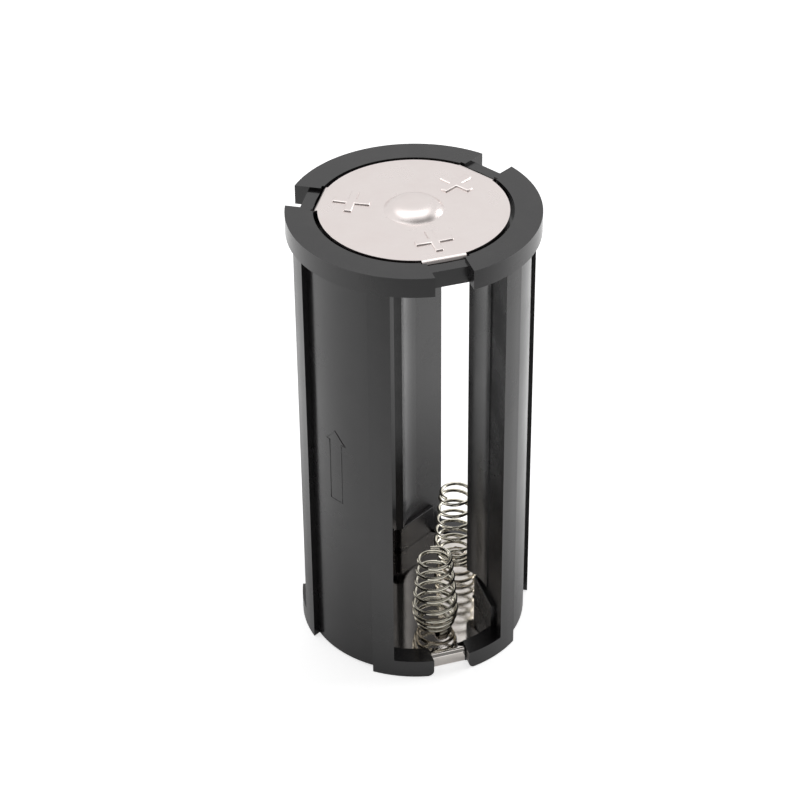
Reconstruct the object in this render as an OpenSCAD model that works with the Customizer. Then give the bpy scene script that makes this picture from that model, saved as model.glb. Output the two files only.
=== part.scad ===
// Round holder for three cylindrical cells standing side by side.
// The middle of the base's underside is the origin, +Z is up, and one
// open bay faces -Y. All sizes are in millimetres.

/* [Cells] */
// Diameter of one cell
cell_d = 18.5; // [17.5:0.1:19]
// Gap all round between a cell and its cradle
cell_clear = 0.35; // [0.2:0.05:0.6]
// How far the cells' sides lie inside the columns' ribs
cell_inset = 0.25; // [0:0.05:0.5]
// Step from a cradle out to the flat wall beside it
crease = 0.2; // [0.1:0.05:0.3]

/* [Frame] */
// Height of the whole holder, without the dome
holder_h = 83; // [72:0.5:90]
// Diameter over the columns' ribs
frame_d = 40.8; // [40:0.2:41.4]
// Height of the base's rims
base_h = 3.4; // [3:0.1:6]
// Depth of a rim, from the outside inwards
rim_w = 3.5; // [3:0.1:4.5]
// How far each column's panel lies behind its ribs
panel_recess = 1.1; // [0.4:0.1:1.8]
// Width of each column's panel between its ribs
panel_w = 14.2; // [10:0.2:16]
// Height of the relief under each panel
heel_lift = 0.4; // [0.2:0.1:1]
// Distance of a column's blunt nose from the middle
nose_r = 9.4; // [8.6:0.1:10]
// Height of the noses above the bottom contact
nose_gap = 6.4; // [3:0.2:12]
// Radius of the rims' and ribs' lower corners
foot_r = 1.2; // [0.4:0.1:1.6]
// Width of the notches in the rims and the top ring
notch_w = 6.4; // [5:0.1:8]

/* [Top ring] */
// How far the top ring stands out past the columns' ribs
ring_overhang = 0.6; // [0.4:0.05:1.6]
// Height of the top ring
ring_h = 3.5; // [3:0.1:6]
// Width of the band behind each of its notches
band_w = 2; // [1.4:0.1:2.6]
// Drop of the band behind each notch, below the ring's top
band_drop = 0.5; // [0.2:0.1:1.2]

/* [Column pegs] */
// Length of the peg on each column, along the ring
peg_w = 7; // [4:0.2:9]
// Thickness of the peg
peg_t = 1.4; // [1:0.1:1.8]
// Height of the peg
peg_h = 2; // [1:0.1:2.4]
// How far the pegs' middles lie inside the columns' ribs
peg_inset = 2.4; // [2:0.1:2.8]
// Gap round the pegs in their pockets
peg_clear = 0.1; // [0.05:0.05:0.25]

/* [Contacts] */
// Thickness of the contact sheet
sheet_t = 0.4; // [0.3:0.05:0.6]
// Inner radius of the sheet's bends
bend_r = 0.4; // [0.3:0.05:0.6]
// Diameter of the top contact
disc_d = 31.3; // [30:0.1:32]
// Gap between the top contact and the ring round it
disc_clear = 0.75; // [0.3:0.05:1]
// How far its three flats cut into its round
flat_cut = 0.45; // [0.35:0.05:1]
// Width of its folded tabs
tab_w = 7.4; // [5:0.2:7.4]
// Inner end of the strips under the top ring
strip_in = 8; // [6.5:0.1:9]
// Diameter of the dome at its foot
dome_d = 9.8; // [6:0.2:12]
// Height of the dome
dome_h = 1.3; // [0.6:0.1:2]
// Width of the bottom contact's arms
arm_w = 17.8; // [14:0.2:18.2]
// Width of its straps, over the rim notches
strap_w = 6; // [4:0.1:6.2]
// How far the straps' outer faces lie inside the rims' outside
strap_inset = 2; // [1.4:0.1:2.4]
// Inner end of the pads under the base
pad_in = 10; // [8:0.5:14]
// Gap round the pressed seat inside each spring
seat_clear = 0.38; // [0.1:0.02:0.6]
// Height of that seat
seat_h = 0.8; // [0.4:0.1:1.2]

/* [Springs] */
// Diameter of the spring wire
wire_d = 0.62; // [0.5:0.02:0.8]
// Outer diameter of a spring's lowest coil
spring_low_d = 7.8; // [7.6:0.1:9]
// Outer diameter of a spring's highest coil
spring_top_d = 6; // [4:0.1:7]
// Free height of a spring
spring_h = 16; // [10:0.5:18]
// Number of turns
spring_turns = 7; // [4:0.5:8]
// Closed turns at each end
closed_turns = 0.8; // [0.5:0.1:1]

/* [Hidden] */
$fn = 96;
eps = 0.01;
bays = 3;
first_bay = -90;             // the first bay faces -Y
frame_r = frame_d / 2;
cell_offset = frame_r - cell_inset - cell_d / 2;   // each cell's axis
strap_s = frame_r - strap_inset;         // outer faces of the straps
peg_r = frame_r - peg_inset;
ring_r = frame_r + ring_overhang;
disc_r = disc_d / 2;
flat_s = disc_r - flat_cut;              // flats of the top contact
ring_in_r = disc_r + disc_clear;
ring_notch_s = ring_in_r + band_w;       // floors of the ring's notches
seat_d = spring_low_d - 2 * wire_d - 2 * seat_clear;
cradle_r = cell_d / 2 + cell_clear;
recess_r = frame_r - rim_w;              // inside face of the rims
floor_z = base_h - 2 * sheet_t;          // the bottom contact lies on it
contact_z = floor_z + sheet_t;           // the springs stand on it
nose_z = contact_z + nose_gap;
ring_z = holder_h - ring_h;              // underside of the top ring
shelf_z = holder_h - sheet_t;            // the top contact lies on it
strap_z = floor_z - 0.02;                // the straps' bends start just under it
slot_play = 0.3;                         // room round the folded tabs
corner_play = 0.15;                      // so that bends clear their corners
far = 3 * holder_h;                      // reaches past everything
spring_steps = 20;                       // rings of facets in one turn
spring_sides = 8;

// Puts a copy of its children at each bay, with the bay along +X.
module at_bays() {
    for (k = [0:bays - 1]) rotate(first_bay + k * 360 / bays) children();
}

// The same at each column, with the column along +X.
module at_columns() {
    rotate(180 / bays) at_bays() children();
}

// Extrudes a profile drawn as (distance outwards, height) across a bay.
module across(width) {
    translate([0, width / 2, 0]) rotate([90, 0, 0]) linear_extrude(width) children();
}

// Outline of the frame seen from above: a disc with a recessed panel on
// each column.
module frame_outline() {
    difference() {
        circle(frame_r);
        difference() {
            at_columns() translate([0, -panel_w / 2]) square([far, panel_w]);
            circle(frame_r - panel_recess);
        }
    }
}

// The straight-sided way into each bay, from a distance outwards.
module bay_way(from) {
    at_bays() translate([from, -cradle_r - crease]) square([far, 2 * (cradle_r + crease)]);
}

// The three columns under the noses: plain wedges.
module wedge_section() {
    difference() {
        frame_outline();
        bay_way(0);
    }
}

// The three columns with their noses, hollowed to the cells' round.
module column_section() {
    difference() {
        intersection() {
            frame_outline();
            at_columns() translate([nose_r, -far]) square([far, 2 * far]);
        }
        bay_way(cell_offset);
        at_bays() translate([cell_offset, 0]) circle(cradle_r);
    }
}

// The piece of plastic that a folded strap goes round, drawn as (distance
// outwards, height), from the middle to a rounded edge at s.
module wrapped(s, z_low, z_high, r) {
    translate([0, z_low]) square([s - r, z_high - z_low]);
    translate([0, z_low + r]) square([s, z_high - z_low - 2 * r]);
    for (z = [z_low + r, z_high - r]) translate([s - r, z]) circle(r);
}

// A strap folded round that piece, with its upper and lower legs' inner ends.
module folded_strap(s, z_low, z_high, r, upper_in, lower_in) {
    difference() {
        wrapped(s + sheet_t, z_low - sheet_t, z_high + sheet_t, r + sheet_t);
        wrapped(s, z_low, z_high, r);
        translate([-far, z_high - eps]) square([far + upper_in, far]);
        translate([-far, z_low - far + eps]) square([far + lower_in, far]);
    }
}

// Rounds the lower corner that lies at y = 0 with the body on its +Y side.
module foot_corner(from) {
    translate([from, 0, 0]) rotate([90, 0, 90]) linear_extrude(far)
        difference() {
            translate([-foot_r, -foot_r]) square(2 * foot_r);
            translate([foot_r, foot_r]) circle(foot_r + eps);
        }
}

// Room for one bottom strap: the rim notch, and the channels over and
// under the strip of base that the strap goes round.
module strap_channel() {
    edge_s = strap_s - sheet_t;
    across(notch_w) difference() {
        translate([pad_in, -far]) square([far, 2 * far]);
        wrapped(edge_s, sheet_t, strap_z, bend_r + corner_play);
    }
}

module base() {
    difference() {
        linear_extrude(base_h) frame_outline();
        translate([0, 0, floor_z]) cylinder(r = recess_r, h = base_h);
        at_bays() {
            intersection() {
                strap_channel();
                translate([0, -far, -eps]) cube([far, 2 * far, base_h + 2 * eps]);
            }
            for (side = [0, 1]) mirror([0, side, 0])
                translate([0, notch_w / 2, 0]) foot_corner(strap_s - sheet_t);
        }
        at_columns() {
            for (side = [0, 1]) mirror([0, side, 0])
                translate([0, panel_w / 2, 0]) foot_corner(frame_r - panel_recess);
            translate([recess_r, -panel_w / 2, -eps]) cube([far, panel_w, heel_lift + eps]);
        }
    }
}

module peg(clear) {
    translate([peg_r - peg_t / 2 - clear, -peg_w / 2 - clear, ring_z - eps])
        cube([peg_t + 2 * clear, peg_w + 2 * clear, peg_h + clear + eps]);
}

// One moulding: the base, the three columns and their pegs.
module frame() {
    color([0.1, 0.1, 0.11]) {
        base();
        translate([0, 0, base_h / 2]) linear_extrude(ring_z - base_h / 2) wedge_section();
        translate([0, 0, nose_z]) linear_extrude(ring_z - nose_z) column_section();
        at_columns() peg(0);
    }
}

// Room for one folded tab of the top contact, beside the band.
module tab_slot() {
    across(tab_w + 2 * slot_play) difference() {
        translate([flat_s - 2 * bend_r, -far])
            square([3 * bend_r + sheet_t + slot_play, 2 * far]);
        wrapped(flat_s + bend_r, ring_z, shelf_z, bend_r + corner_play);
    }
}

module top_ring() {
    color([0.14, 0.14, 0.15])
        difference() {
            translate([0, 0, ring_z]) cylinder(r = ring_r, h = ring_h);
            translate([0, 0, shelf_z]) cylinder(r = ring_in_r, h = ring_h);
            at_bays() {
                tab_slot();
                translate([ring_notch_s, -notch_w / 2, ring_z - eps])
                    cube([far, notch_w, ring_h + 2 * eps]);
                translate([0, -notch_w / 2, holder_h - band_drop])
                    cube([far, notch_w, ring_h]);
            }
            at_columns() peg(peg_clear);
        }
}

// The dome, with a soft fillet at its foot: a ball's cap on the disc.
module dome(grow) {
    foot = dome_d / 2;
    ball_r = (pow(foot, 2) + pow(dome_h, 2)) / (2 * dome_h) + grow;
    intersection() {
        translate([0, 0, holder_h + dome_h + grow - ball_r]) sphere(ball_r);
        translate([0, 0, holder_h - sheet_t]) cylinder(r = foot + grow, h = dome_h + 2 * sheet_t);
    }
}

module top_contact() {
    color([0.8, 0.79, 0.77]) {
        difference() {
            translate([0, 0, shelf_z]) cylinder(r = disc_r, h = sheet_t);
            at_bays() translate([flat_s, -far, 0]) cube([far, 2 * far, 2 * holder_h]);
        }
        dome(0);
        at_bays() across(tab_w)
            folded_strap(flat_s + bend_r, ring_z, shelf_z, bend_r, flat_s - sheet_t, strip_in);
    }
}

module bottom_contact() {
    color([0.7, 0.7, 0.71]) {
        translate([0, 0, floor_z]) linear_extrude(sheet_t) intersection() {
            circle(recess_r - slot_play);
            at_bays() translate([0, -arm_w / 2]) square([far, arm_w]);
        }
        at_bays() {
            across(strap_w)
                folded_strap(strap_s - sheet_t, sheet_t, strap_z, bend_r,
                             recess_r - 2 * slot_play, pad_in + slot_play);
            translate([cell_offset, 0, contact_z - eps]) seat();
        }
    }
}

// The seat pressed up inside a spring's lowest coil.
module seat() {
    rotate_extrude() {
        square([seat_d / 2, seat_h / 2 + eps]);
        square([seat_d / 2 - seat_h / 2, seat_h + eps]);
        translate([seat_d / 2 - seat_h / 2, seat_h / 2 + eps]) circle(seat_h / 2, $fn = 32);
    }
}

// Height of the wire's centre above the contact after a number of turns:
// closed turns at both ends and an even climb between them.
function wire_z(turn) =
    let (closed = closed_turns * wire_d * 1.06,
         climb = spring_h - wire_d - 2 * closed,
         open_turns = spring_turns - 2 * closed_turns)
    wire_d / 2 + (turn < closed_turns ? closed * turn / closed_turns
        : turn > spring_turns - closed_turns
            ? closed + climb + closed * (turn - spring_turns + closed_turns) / closed_turns
            : closed + climb * (turn - closed_turns) / open_turns);

function wire_r(turn) =
    (spring_low_d + (spring_top_d - spring_low_d) * turn / spring_turns - wire_d) / 2;

// A conical spring swept along its own helix.
module spring() {
    rings = ceil(spring_turns * spring_steps);
    points = [for (i = [0:rings], j = [0:spring_sides - 1])
        let (turn = i * spring_turns / rings, angle = 360 * turn,
             side = 360 * j / spring_sides,
             r = wire_r(turn) + wire_d / 2 * cos(side))
        [r * cos(angle), r * sin(angle), wire_z(turn) + wire_d / 2 * sin(side)]];
    walls = [for (i = [0:rings - 1], j = [0:spring_sides - 1])
        let (next = (j + 1) % spring_sides, a = i * spring_sides, b = a + spring_sides)
        each [[a + j, a + next, b + next], [a + j, b + next, b + j]]];
    first_end = [[for (j = [0:spring_sides - 1]) spring_sides - 1 - j]];
    last_end = [[for (j = [0:spring_sides - 1]) rings * spring_sides + j]];
    polyhedron(points, concat(walls, first_end, last_end));
}

module spring_at(bay) {
    color([0.72, 0.71, 0.67])
        rotate(first_bay + bay * 360 / bays) translate([cell_offset, 0, contact_z]) spring();
}

frame();
top_ring();
top_contact();
bottom_contact();
spring_at(0);  // spring_1
spring_at(1);  // spring_2
spring_at(2);  // spring_3
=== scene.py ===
import math

import bpy
from mathutils import Matrix, Vector


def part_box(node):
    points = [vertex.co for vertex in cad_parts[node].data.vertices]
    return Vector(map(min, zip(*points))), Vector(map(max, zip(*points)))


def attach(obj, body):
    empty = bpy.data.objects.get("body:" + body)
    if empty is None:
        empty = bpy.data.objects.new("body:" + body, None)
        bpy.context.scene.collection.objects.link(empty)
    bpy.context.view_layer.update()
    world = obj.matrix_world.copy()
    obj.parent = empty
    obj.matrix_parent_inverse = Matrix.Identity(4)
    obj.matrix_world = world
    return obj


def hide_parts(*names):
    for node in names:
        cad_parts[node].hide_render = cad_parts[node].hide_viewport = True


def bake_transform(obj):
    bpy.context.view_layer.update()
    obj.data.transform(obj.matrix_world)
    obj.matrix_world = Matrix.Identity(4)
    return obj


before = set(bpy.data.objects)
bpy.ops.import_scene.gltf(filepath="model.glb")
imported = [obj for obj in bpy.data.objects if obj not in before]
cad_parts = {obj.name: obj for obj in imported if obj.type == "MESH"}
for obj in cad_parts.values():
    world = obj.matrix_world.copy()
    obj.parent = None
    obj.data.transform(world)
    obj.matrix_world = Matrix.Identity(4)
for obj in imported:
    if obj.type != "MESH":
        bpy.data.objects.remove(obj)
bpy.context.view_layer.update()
mm = 0.001
print("packed frame loaded:", len(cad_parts), "nodes")

# helpers

shaping = {"weld": 0.0005 * mm, "flatAngle": 1, "smoothAngle": 50, "flatWeight": 50,
           "drumSides": 128, "sheetSegments": 2, "sheetAngle": 50}


def deselectAll():
    if bpy.context.mode != "OBJECT":
        bpy.ops.object.mode_set(mode="OBJECT")
    bpy.ops.object.select_all(action="DESELECT")


def makeActive(piece):
    deselectAll()
    piece.select_set(True)
    bpy.context.view_layer.objects.active = piece


def openMesh(piece):
    # edit mode, with the whole mesh selected
    makeActive(piece)
    bpy.ops.object.mode_set(mode="EDIT")
    bpy.ops.mesh.select_all(action="SELECT")


def closeMesh():
    bpy.ops.object.mode_set(mode="OBJECT")


def applyAll(piece):
    makeActive(piece)
    for modifier in list(piece.modifiers):
        bpy.ops.object.modifier_apply(modifier=modifier.name)


def settle(piece):
    # the piece's place, turn and size go into its mesh
    makeActive(piece)
    bpy.ops.object.transform_apply(location=True, rotation=True, scale=True)


def newPiece(name, points, edges, faces):
    deselectAll()
    bpy.ops.mesh.primitive_plane_add(size=1, location=(0, 0, 0))
    piece = bpy.context.active_object
    piece.name = name
    piece.data.clear_geometry()
    piece.data.from_pydata(points, edges, faces)
    return piece


def joinPieces(name, pieces):
    makeActive(pieces[0])
    for piece in pieces:
        piece.select_set(True)
    bpy.ops.object.join()
    joined = bpy.context.view_layer.objects.active
    joined.name = name
    return joined


def drum(radius, low, high):
    deselectAll()
    bpy.ops.mesh.primitive_cylinder_add(vertices=shaping["drumSides"], radius=radius,
                                        depth=high - low, location=(0, 0, (low + high) / 2))
    piece = bpy.context.active_object
    settle(piece)
    return piece


def combine(piece, other, operation):
    # the other solid is cut from the piece or added to it, and goes
    makeActive(piece)
    change = piece.modifiers.new("combine", "BOOLEAN")
    change.operation = operation
    change.solver = "EXACT"
    change.object = other
    applyAll(piece)
    bpy.data.objects.remove(other)


def breakEdges(piece, width, segments, angle):
    bevel = piece.modifiers.new("brokenEdges", "BEVEL")
    bevel.width = width
    bevel.segments = segments
    bevel.limit_method = "ANGLE"
    bevel.angle_limit = math.radians(angle)
    bevel.use_clamp_overlap = True
    applyAll(piece)


def smoothFaces(piece):
    # smooth across soft edges, with the large flats kept flat
    makeActive(piece)
    bpy.ops.object.shade_smooth_by_angle(angle=math.radians(shaping["smoothAngle"]))
    weigh = piece.modifiers.new("weigh", "WEIGHTED_NORMAL")
    weigh.mode = "FACE_AREA"
    weigh.weight = shaping["flatWeight"]
    weigh.keep_sharp = True
    applyAll(piece)


def softCopy(node, name, edge, segments=2, angle=30, levelAt=None, cutter=None):
    # the node's own solid, welded, with its edges broken as moulding and stamping leave them;
    # what stands above levelAt, or lies inside the cutter, is taken off first
    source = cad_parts[node]
    piece = source.copy()
    piece.data = source.data.copy()
    piece.name = name
    for key in list(piece.keys()):
        del piece[key]
    piece.parent = None
    bpy.context.scene.collection.objects.link(piece)
    openMesh(piece)
    bpy.ops.mesh.remove_doubles(threshold=shaping["weld"])
    if cutter is not None:
        combine(piece, cutter, "DIFFERENCE")
        openMesh(piece)
    if levelAt is not None:
        bpy.ops.mesh.select_all(action="SELECT")
        bpy.ops.mesh.bisect(plane_co=(0, 0, levelAt), plane_no=(0, 0, 1), clear_outer=True,
                            use_fill=True)
        bpy.ops.mesh.select_all(action="SELECT")
    bpy.ops.mesh.dissolve_limited(angle_limit=math.radians(shaping["flatAngle"]))
    closeMesh()
    breakEdges(piece, edge, segments, angle)
    smoothFaces(piece)
    return piece


def thicken(piece, thickness, edge):
    # sheet metal or a thin wall, from its middle surface
    solid = piece.modifiers.new("sheet", "SOLIDIFY")
    solid.thickness = thickness
    solid.offset = 0
    applyAll(piece)
    breakEdges(piece, edge, shaping["sheetSegments"], shaping["sheetAngle"])
    openMesh(piece)
    bpy.ops.mesh.normals_make_consistent(inside=False)
    closeMesh()
    smoothFaces(piece)


def wireAlong(name, points, radius, facets, closed=False):
    # a round wire along a line of points
    deselectAll()
    bpy.ops.curve.primitive_bezier_curve_add(location=(0, 0, 0))
    piece = bpy.context.active_object
    piece.name = name
    curve = piece.data
    curve.splines.clear()
    spline = curve.splines.new("POLY")
    spline.points.add(len(points) - 1)
    for point, place in zip(spline.points, points):
        point.co = (*place, 1)
    spline.use_cyclic_u = closed
    curve.dimensions = "3D"
    curve.bevel_depth = radius
    curve.bevel_resolution = facets
    curve.use_fill_caps = not closed
    bpy.ops.object.convert(target="MESH")
    return bpy.context.active_object


def bayAngle(bay):
    # the direction of the bay with this number; the first one faces the front
    return math.radians(-90 + 120 * bay)


def bayFrame(bay):
    # outwards, sideways and up, for this bay
    return Matrix.Rotation(bayAngle(bay), 3, "Z")


def giveMaterial(piece, material):
    piece.data.materials.clear()
    piece.data.materials.append(material)


# materials

def newMaterial(name):
    material = bpy.data.materials.new(name)
    material.use_nodes = True
    nodes = material.node_tree.nodes
    return material, nodes, material.node_tree.links, nodes.get("Principled BSDF")


def noiseNode(nodes, links, coords, scale, detail, roughness):
    noise = nodes.new("ShaderNodeTexNoise")
    noise.inputs["Scale"].default_value = scale
    noise.inputs["Detail"].default_value = detail
    noise.inputs["Roughness"].default_value = roughness
    links.new(coords, noise.inputs["Vector"])
    return noise.outputs["Fac"]


def rangeNode(nodes, links, value, low, high, start=0.0, stop=1.0):
    remap = nodes.new("ShaderNodeMapRange")
    remap.inputs["From Min"].default_value = start
    remap.inputs["From Max"].default_value = stop
    remap.inputs["To Min"].default_value = low
    remap.inputs["To Max"].default_value = high
    links.new(value, remap.inputs["Value"])
    return remap.outputs["Result"]


def mathNode(nodes, links, operation, first, second):
    node = nodes.new("ShaderNodeMath")
    node.operation = operation
    links.new(first, node.inputs[0])
    links.new(second, node.inputs[1])
    return node.outputs[0]


# noises are scale, detail and roughness; a grain's bump is strength and depth

# moulded black plastic: flow marks in its polish, handling haze and a fine grain
plastic = {"colour": (0.011, 0.010, 0.011), "stain": (0.026, 0.024, 0.024), "stained": 0.8,
           "toneNoise": (320, 5, 0.6), "toneSpan": (0.45, 0.8),
           "rough": (0.17, 0.3), "polishNoise": (90, 3, 0.5), "polishSpan": (0.3, 0.7),
           "grainNoise": (3800, 2, 0.5), "bump": (0.5, 0.01 * mm), "metallic": 0, "ior": 1.58}

# nickel plate: slightly uneven tone and polish, with fine rolling marks
satinSteel = {"colour": (0.80, 0.735, 0.715), "stain": (0.76, 0.69, 0.67), "stained": 1,
              "toneNoise": (160, 4, 0.6), "toneSpan": (0.42, 0.75),
              "rough": (0.26, 0.34), "polishNoise": (160, 4, 0.6), "polishSpan": (0.3, 0.75),
              "grainNoise": (5200, 2, 0.5), "bump": (0.35, 0.008 * mm), "metallic": 1, "ior": 1.5}
brightSteel = {**satinSteel, "colour": (0.74, 0.70, 0.66), "stain": (0.6, 0.56, 0.53),
               "rough": (0.03, 0.1), "toneNoise": (240, 4, 0.6), "polishNoise": (240, 4, 0.6)}
springSteel = {**satinSteel, "colour": (0.72, 0.69, 0.6), "stain": (0.4, 0.37, 0.3),
               "rough": (0.06, 0.18), "toneNoise": (700, 4, 0.6), "polishNoise": (700, 4, 0.6)}


def grainedMaterial(name, settings):
    material, nodes, links, shader = newMaterial(name)
    coords = nodes.new("ShaderNodeTexCoord").outputs["Object"]
    tone = noiseNode(nodes, links, coords, *settings["toneNoise"])
    polish = noiseNode(nodes, links, coords, *settings["polishNoise"])
    grain = noiseNode(nodes, links, coords, *settings["grainNoise"])
    mix = nodes.new("ShaderNodeMix")
    mix.data_type = "RGBA"
    mix.inputs["A"].default_value = (*settings["colour"], 1)
    mix.inputs["B"].default_value = (*settings["stain"], 1)
    stained = rangeNode(nodes, links, tone, 0, settings["stained"], *settings["toneSpan"])
    links.new(stained, mix.inputs["Factor"])
    links.new(mix.outputs["Result"], shader.inputs["Base Color"])
    rough = rangeNode(nodes, links, polish, *settings["rough"], *settings["polishSpan"])
    links.new(rough, shader.inputs["Roughness"])
    bump = nodes.new("ShaderNodeBump")
    strength, depth = settings["bump"]
    bump.inputs["Strength"].default_value = strength
    bump.inputs["Distance"].default_value = depth
    links.new(grain, bump.inputs["Height"])
    links.new(bump.outputs["Normal"], shader.inputs["Normal"])
    shader.inputs["Metallic"].default_value = settings["metallic"]
    shader.inputs["IOR"].default_value = settings["ior"]
    return material


frameBlack = grainedMaterial("frameBlack", plastic)
discMetal = grainedMaterial("discMetal", satinSteel)
floorMetal = grainedMaterial("floorMetal", brightSteel)
wireMetal = grainedMaterial("wireMetal", springSteel)
print("materials ready")

# frame, with a low ledge at each side of each bay's floor

brokenEdge = {"frame": 0.18 * mm, "ring": 0.22 * mm, "sheet": 0.08 * mm}
ledge = {"side": 9.4 * mm, "thick": 0.9 * mm, "low": -0.3 * mm, "high": 5.4 * mm,
         "inner": 5.9 * mm, "outer": 15 * mm, "edge": 0.14 * mm}
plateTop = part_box("spring_1")[0].z


def lowLedge(name, settings, bay, side):
    turn = bayFrame(bay)
    corners = [turn @ Vector((reach, side * settings["side"], plateTop + up))
               for reach in (settings["inner"], settings["outer"])
               for up in (settings["low"], settings["high"])]
    piece = newPiece(name, corners, [], [(0, 1, 3, 2)])
    thicken(piece, settings["thick"], settings["edge"])
    return piece


frameParts = [softCopy("frame", "frameShell", brokenEdge["frame"])]
frameParts += [lowLedge("ledge", ledge, bay, side) for bay in range(3) for side in (-1, 1)]
frameShell = joinPieces("frameShell", frameParts)
giveMaterial(frameShell, frameBlack)
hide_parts("frame")
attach(frameShell, "holder")

# top ring, with a deep gap round the disc

gap = {"inner": 15.4 * mm, "outer": 16.38 * mm, "depth": 1.9 * mm, "above": 1 * mm,
       "coreReach": 3 * mm}
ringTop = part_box("top_ring")[1].z
channel = drum(gap["outer"], ringTop - gap["depth"], ringTop + gap["above"])
core = drum(gap["inner"], ringTop - gap["coreReach"], ringTop + gap["coreReach"])
combine(channel, core, "DIFFERENCE")
ringShell = softCopy("top_ring", "ringShell", brokenEdge["ring"], cutter=channel)
giveMaterial(ringShell, frameBlack)
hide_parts("top_ring")
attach(ringShell, "holder")
print("mouldings softened")

# bottom contact: the plate and the tongues over the springs' feet

tongue = {"sheet": 0.34 * mm, "edge": 0.06 * mm, "width": 2.4 * mm, "aside": 0.7 * mm,
          "root": 9.9 * mm, "tip": 13.7 * mm, "rise": 0.93 * mm, "tipSteps": 8,
          "bend": ((-0.5 * mm, -0.1 * mm), (-0.1 * mm, 0.35 * mm), (0.35 * mm, 0.83 * mm),
                   (0.9 * mm, 0.93 * mm))}
plate = {"segments": 1, "angle": 50, "level": 0.02 * mm}


def springTongue(name, settings, bay):
    # lanced from the plate: up inside the spring, then out over its foot to a round tip
    half = settings["width"] / 2
    tipStart = settings["tip"] - half
    line = [(settings["root"] + along, up) for along, up in settings["bend"]]
    for k in range(settings["tipSteps"]):
        swing = math.radians(90 * k / settings["tipSteps"])
        line.append((tipStart + half * math.sin(swing), settings["rise"]))
    turn = bayFrame(bay)
    points = []
    for reach, up in line:
        past = max(0.0, reach - tipStart) / half
        wide = half * math.sqrt(max(0.0, 1 - past ** 2))
        for side in (-wide, wide):
            points.append(turn @ Vector((reach, side + settings["aside"], plateTop + up)))
    faces = [(2 * k, 2 * k + 1, 2 * k + 3, 2 * k + 2) for k in range(len(line) - 1)]
    piece = newPiece(name, points, [], faces)
    thicken(piece, settings["sheet"], settings["edge"])
    return piece


floorParts = [softCopy("bottom_contact", "plate", brokenEdge["sheet"], plate["segments"],
                       plate["angle"], plateTop + plate["level"])]
floorParts += [springTongue("tongue", tongue, bay) for bay in range(3)]
floorPlate = joinPieces("floorPlate", floorParts)
giveMaterial(floorPlate, floorMetal)
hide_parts("bottom_contact")
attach(floorPlate, "holder")

# top contact: the stamped disc, its dome and its three crosses

dome = {"foot": 4.95 * mm, "height": 1.3 * mm, "crown": 5, "skirt": 1.3, "rings": 30,
        "steps": 96, "weld": 0.001 * mm}
cross = {"reach": 3.15 * mm, "arm": 1.35 * mm, "rise": 0.28 * mm, "offset": 10.4 * mm,
         "softness": 0.85, "segments": 4, "angle": 40}


def domeShell(name, settings):
    # half profile of the pressed dome, spun round the middle; its top is rounder than its foot
    points = []
    for k in range(settings["rings"] + 1):
        t = k / settings["rings"]
        height = settings["height"] * (1 - t ** settings["crown"]) ** settings["skirt"]
        points.append((settings["foot"] * t, 0, ringTop + height))
    edges = [(k, k + 1) for k in range(settings["rings"])]
    piece = newPiece(name, points, edges, [])
    openMesh(piece)
    bpy.ops.mesh.spin(steps=settings["steps"], angle=math.tau, center=(0, 0, 0), axis=(0, 0, 1))
    bpy.ops.mesh.select_all(action="SELECT")
    bpy.ops.mesh.remove_doubles(threshold=settings["weld"])
    bpy.ops.mesh.normals_make_consistent(inside=False)
    closeMesh()
    if piece.data.polygons[0].normal.z < 0:
        piece.data.flip_normals()
    bpy.ops.object.shade_smooth()
    return piece


def crossMark(settings, bay):
    # the two arms of a plus, with rounded edges, one arm along the bay
    arms = []
    for turn in (0, 90):
        deselectAll()
        bpy.ops.mesh.primitive_cube_add(size=1, location=(0, 0, 0))
        arm = bpy.context.active_object
        arm.scale = (2 * settings["reach"], settings["arm"], 2 * settings["rise"])
        arm.rotation_euler = (0, 0, math.radians(turn))
        settle(arm)
        arms.append(arm)
    piece, across = arms
    combine(piece, across, "UNION")
    width = settings["rise"] * settings["softness"]
    breakEdges(piece, width, settings["segments"], settings["angle"])
    piece.location = (0, -settings["offset"], ringTop)
    settle(piece)
    piece.rotation_euler = (0, 0, math.radians(120 * bay))
    settle(piece)
    smoothFaces(piece)
    return piece


topParts = [softCopy("top_contact", "sheet", brokenEdge["sheet"]), domeShell("dome", dome)]
topParts += [crossMark(cross, bay) for bay in range(3)]
for part in topParts:
    giveMaterial(part, discMetal)
topContact = joinPieces("topContact", topParts)
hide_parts("top_contact")
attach(topContact, "holder")
print("top contact pressed")

# springs

wire = {"radius": 0.31 * mm, "neck": 2.59 * mm, "belly": 3.79 * mm, "topCoil": 2.69 * mm,
        "neckTurns": 3.5, "upperTurns": 5, "bellyHeight": 4.8 * mm, "closed": 0.8,
        "perTurn": 40, "facets": 3, "pitch": 1.06, "offset": 10.9 * mm}


def coilHeight(turn, height, settings):
    # a close neck up to the belly, an open climb and a closed upper end
    radius, belly = settings["radius"], settings["bellyHeight"]
    closedRise = settings["closed"] * 2 * radius * settings["pitch"]
    climb = height - radius - belly - closedRise
    openTurns = settings["upperTurns"] - settings["closed"]
    above = turn - settings["neckTurns"]
    if above < 0:
        return radius + (belly - radius) * turn / settings["neckTurns"]
    if above < openTurns:
        return belly + climb * above / openTurns
    return belly + climb + closedRise * (above - openTurns) / settings["closed"]


def coilRadius(turn, settings):
    neck, belly = settings["neck"], settings["belly"]
    above = turn - settings["neckTurns"]
    if above < 0:
        return neck + (belly - neck) * math.sin(math.radians(90) * turn / settings["neckTurns"])
    return belly + (settings["topCoil"] - belly) * above / settings["upperTurns"]


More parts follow.
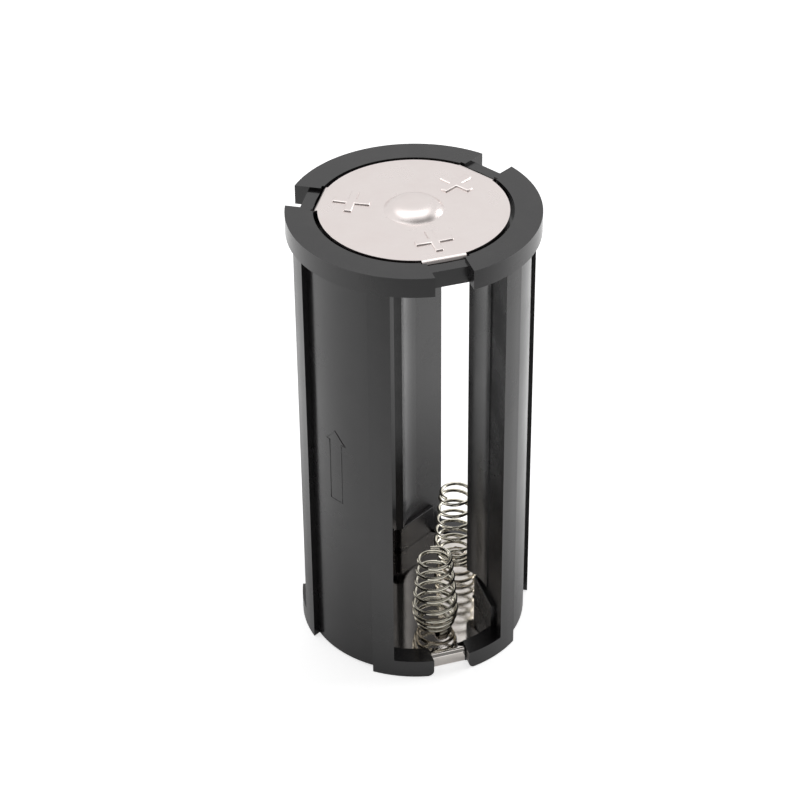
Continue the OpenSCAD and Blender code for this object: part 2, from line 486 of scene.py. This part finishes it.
def coiledWire(name, bay, base, height, settings):
    # one wire along a bellied helix
    start = bayAngle(bay)
    middle = Vector((math.cos(start), math.sin(start), 0)) * settings["offset"]
    count = round((settings["neckTurns"] + settings["upperTurns"]) * settings["perTurn"])
    points = []
    for k in range(count + 1):
        turn = k / settings["perTurn"]
        radius = coilRadius(turn, settings)
        angle = start + math.tau * turn
        points.append((middle.x + radius * math.cos(angle), middle.y + radius * math.sin(angle),
                       base + coilHeight(turn, height, settings)))
    piece = wireAlong(name, points, settings["radius"], settings["facets"])
    bpy.ops.object.shade_smooth_by_angle(angle=math.radians(shaping["smoothAngle"]))
    return piece


for bay in range(3):
    node = "spring_%d" % (bay + 1)
    low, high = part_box(node)
    spring = coiledWire("coil%d" % (bay + 1), bay, low.z, high.z - low.z, wire)
    giveMaterial(spring, wireMetal)
    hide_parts(node)
    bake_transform(spring)
print("springs wound")

# the raised outline of an arrow on the front left column's panel

arrow = {"angle": 208.6, "radius": 19.27 * mm, "ridge": 0.13 * mm, "foot": 34.1 * mm,
         "neck": 46.2 * mm, "tip": 48.6 * mm, "shaft": 1.32 * mm, "head": 2.2 * mm,
         "steps": 6, "facets": 2}


def arrowRidge(name, settings):
    # drawn flat, then wrapped round the column
    shaft, head = settings["shaft"], settings["head"]
    foot, neck, tip = settings["foot"], settings["neck"], settings["tip"]
    corners = [(-shaft, foot), (shaft, foot), (shaft, neck), (head, neck), (0, tip),
               (-head, neck), (-shaft, neck)]
    points = []
    for k, (x, z) in enumerate(corners):
        nextX, nextZ = corners[(k + 1) % len(corners)]
        for step in range(settings["steps"]):
            along = step / settings["steps"]
            angle = math.radians(settings["angle"]) + (x + (nextX - x) * along) / settings["radius"]
            points.append((settings["radius"] * math.cos(angle),
                           settings["radius"] * math.sin(angle), z + (nextZ - z) * along))
    piece = wireAlong(name, points, settings["ridge"], settings["facets"], closed=True)
    bpy.ops.object.shade_smooth()
    return piece


arrowMark = arrowRidge("arrowMark", arrow)
giveMaterial(arrowMark, frameBlack)
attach(arrowMark, "holder")

# stage, light and camera

# the floor glows for the camera and in reflections; its glow carries a painted shadow near the
# holder's foot and painted shade towards the front
floorStage = {"size": 6, "below": 0.1 * mm, "colour": (0.9, 0.9, 0.9), "rough": 0.8,
              "specular": 0.1, "glow": 0.7, "middle": (0, 0.02, 0), "paintedShadeLevel": 0.2,
              "paintedShadeReach": (0.03, 0.062), "paintedFrontLevel": 0.25, "paintedFrontReach": (-0.15, -0.04)}
surround = {"fill": 0.4, "lid": 1.25, "horizon": 0.93, "front": 0.24,
            "frontSpan": (-0.24, 0.02), "lidBack": (0.0, 0.2), "lidHeight": (0.68, 0.92)}
lamps = {"overhead": {"place": (0.0, 0.1, 0.7), "size": (0.7, 0.7), "power": 1.0},
         "rightSide": {"place": (0.6, 0.05, 0.16), "size": (0.35, 0.45), "power": 2.2},
         "leftSide": {"place": (-0.6, 0.3, 0.18), "size": (0.3, 0.4), "power": 0.8}}
lampTarget = (0, 0, 0.04)
view = {"azimuth": -17.4, "elevation": 35.66, "roll": -0.57, "distance": 0.4469,
        "target": (-0.00146, 0.00384, 0.0425), "lens": 116.7, "sensor": 36, "clip": (0.01, 20)}


def seenDirectly(nodes, links):
    # 1 for rays that show a surface as it is: camera, mirror-like and see-through ones
    path = nodes.new("ShaderNodeLightPath").outputs
    mirrored = mathNode(nodes, links, "MAXIMUM", path["Is Camera Ray"], path["Is Glossy Ray"])
    seen = mathNode(nodes, links, "MAXIMUM", mirrored, path["Is Transmission Ray"])
    return path["Is Camera Ray"], seen


def stageFloor(settings):
    deselectAll()
    bpy.ops.mesh.primitive_plane_add(size=settings["size"], location=(0, 0, -settings["below"]))
    floor = bpy.context.active_object
    floor.name = "floor"
    material, nodes, links, shader = newMaterial("paleFloor")
    shader.inputs["Base Color"].default_value = (*settings["colour"], 1)
    shader.inputs["Roughness"].default_value = settings["rough"]
    shader.inputs["Specular IOR Level"].default_value = settings["specular"]
    shader.inputs["Emission Color"].default_value = (1, 1, 1, 1)
    camera, seen = seenDirectly(nodes, links)
    # painted shade: the floor's glow, which the holder's gloss and plating reflect, is painted
    # darker near the foot as the holder's shadow and darker towards the front; the camera sees it
    # evenly
    coords = nodes.new("ShaderNodeTexCoord").outputs["Object"]
    length = nodes.new("ShaderNodeVectorMath")
    length.operation = "DISTANCE"
    links.new(coords, length.inputs[0])
    length.inputs[1].default_value = settings["middle"]
    split = nodes.new("ShaderNodeSeparateXYZ")
    links.new(coords, split.inputs[0])
    paintedFootShadow = rangeNode(nodes, links, length.outputs["Value"], settings["paintedShadeLevel"], 1,
                         *settings["paintedShadeReach"])
    paintedFrontShade = rangeNode(nodes, links, split.outputs["Y"], settings["paintedFrontLevel"], 1,
                       *settings["paintedFrontReach"])
    paintedShade = mathNode(nodes, links, "MULTIPLY", paintedFootShadow, paintedFrontShade)
    level = mathNode(nodes, links, "MAXIMUM", paintedShade, camera)
    glow = rangeNode(nodes, links, seen, 0, settings["glow"])
    links.new(mathNode(nodes, links, "MULTIPLY", glow, level), shader.inputs["Emission Strength"])
    floor.data.materials.append(material)


def studioWorld(settings):
    # white all round, dimmer on the side the object is seen from, and dimmer as plain fill
    world = bpy.data.worlds.new("studio")
    bpy.context.scene.world = world
    world.use_nodes = True
    nodes, links = world.node_tree.nodes, world.node_tree.links
    background = nodes["Background"]
    background.inputs["Color"].default_value = (1, 1, 1, 1)
    camera, seen = seenDirectly(nodes, links)
    split = nodes.new("ShaderNodeSeparateXYZ")
    links.new(nodes.new("ShaderNodeTexCoord").outputs["Generated"], split.inputs[0])
    level = rangeNode(nodes, links, split.outputs["Y"], settings["front"], settings["horizon"],
                      *settings["frontSpan"])
    behind = rangeNode(nodes, links, split.outputs["Y"], 0, 1, *settings["lidBack"])
    lift = rangeNode(nodes, links, split.outputs["Z"], 0, 1, *settings["lidHeight"])
    lidded = nodes.new("ShaderNodeMix")
    links.new(mathNode(nodes, links, "MULTIPLY", behind, lift), lidded.inputs[0])
    links.new(level, lidded.inputs[2])
    lidded.inputs[3].default_value = settings["lid"]
    fill = rangeNode(nodes, links, seen, settings["fill"], 1)
    dimmed = mathNode(nodes, links, "MULTIPLY", lidded.outputs[0], fill)
    final = nodes.new("ShaderNodeMix")
    links.new(camera, final.inputs[0])
    links.new(dimmed, final.inputs[2])
    final.inputs[3].default_value = 1.0
    links.new(final.outputs[0], background.inputs["Strength"])


def areaLight(name, settings):
    bpy.ops.object.light_add(type="AREA", location=settings["place"])
    lamp = bpy.context.active_object
    lamp.name = name
    lamp.data.shape = "RECTANGLE"
    lamp.data.size, lamp.data.size_y = settings["size"]
    lamp.data.energy = settings["power"]
    aim = Vector(lampTarget) - Vector(settings["place"])
    lamp.rotation_euler = aim.to_track_quat("-Z", "Y").to_euler()


def placeCamera(settings):
    a, e = math.radians(settings["azimuth"]), math.radians(settings["elevation"])
    back = Vector((math.sin(a) * math.cos(e), -math.cos(a) * math.cos(e), math.sin(e)))
    place = Vector(settings["target"]) + back * settings["distance"]
    bpy.ops.object.camera_add(location=place)
    camera = bpy.context.active_object
    turn = (-back).to_track_quat("-Z", "Y").to_matrix()
    roll = Matrix.Rotation(math.radians(settings["roll"]), 3, "Z")
    camera.rotation_euler = (turn @ roll).to_euler()
    camera.data.lens = settings["lens"]
    camera.data.sensor_width = settings["sensor"]
    camera.data.clip_start, camera.data.clip_end = settings["clip"]
    bpy.context.scene.camera = camera


stageFloor(floorStage)
studioWorld(surround)
deselectAll()
for name, settings in lamps.items():
    areaLight(name, settings)
placeCamera(view)
bpy.context.scene.view_settings.view_transform = "Standard"

print("stage set")
